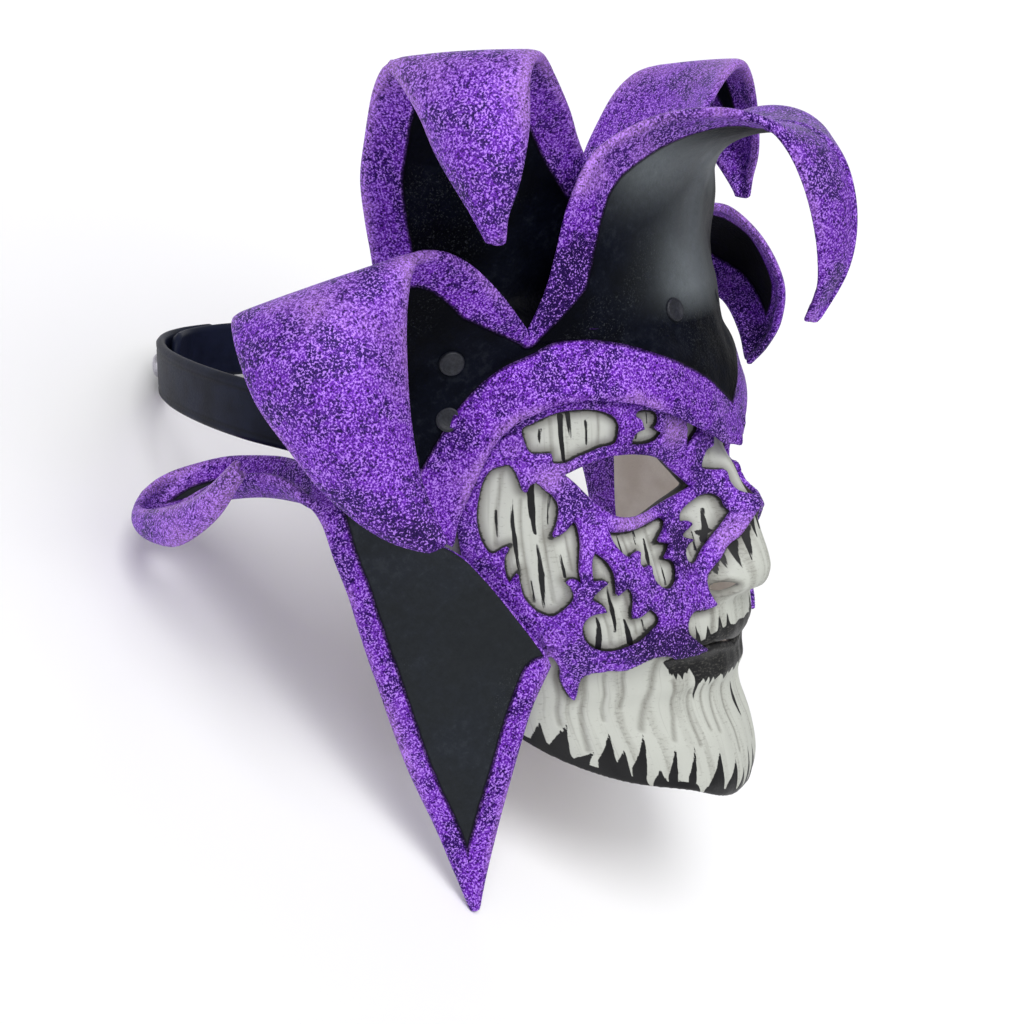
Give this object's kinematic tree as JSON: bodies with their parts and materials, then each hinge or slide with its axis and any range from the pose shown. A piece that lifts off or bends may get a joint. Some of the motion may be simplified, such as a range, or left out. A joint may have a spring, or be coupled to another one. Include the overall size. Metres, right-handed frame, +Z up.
{
  "type": "leather jester mask",
  "caption": "Full-face leather mask with a torn openwork overlay, a five-pointed jester's hat with curled points, pointed jaw pieces and a head strap.",
  "frame": {"origin": "middle of the bounding box's underside, on the surface that the mask lies on", "axes": "+X to the wearer's left, -Y to the front, +Z up. The mask leans back on its two jaw points and its strap"},
  "size_m": [0.2818, 0.2592, 0.2271],
  "materials": {
    "bone_leather": "moulded leather painted bone white, with black brush strokes",
    "purple_leather": "leather with glittering purple paint",
    "black_leather": "waxed black leather with purple borders, purple on the reverse",
    "strap_leather": "smooth blue-black strap leather",
    "painted_rivet": "rivet cap painted black with the leather",
    "purple_rivet": "rivet cap painted purple with the leather",
    "silver_metal": "bright metal"
  },
  "bodies": {
    "root": {"face": "bone_leather", "overlay": "purple_leather", "hat_front": "black_leather", "hat_rear": "black_leather", "jaw_right": "black_leather", "jaw_left": "black_leather", "strap_right": "strap_leather", "strap_left": "strap_leather", "strap_snap": "silver_metal", "front_rivet_right": "painted_rivet", "front_rivet_left": "painted_rivet", "crown_rivet_right": "painted_rivet", "crown_rivet_left": "painted_rivet", "temple_rivet_right": "painted_rivet", "temple_rivet_left": "painted_rivet", "strap_rivet_right": "painted_rivet", "strap_rivet_left": "painted_rivet", "strap_stud_right": "silver_metal", "strap_stud_left": "silver_metal", "brow_rivet_right": "purple_rivet", "brow_rivet_left": "purple_rivet", "cheek_rivet_right": "purple_rivet", "cheek_rivet_left": "purple_rivet"}
  },
  "joints": []
}
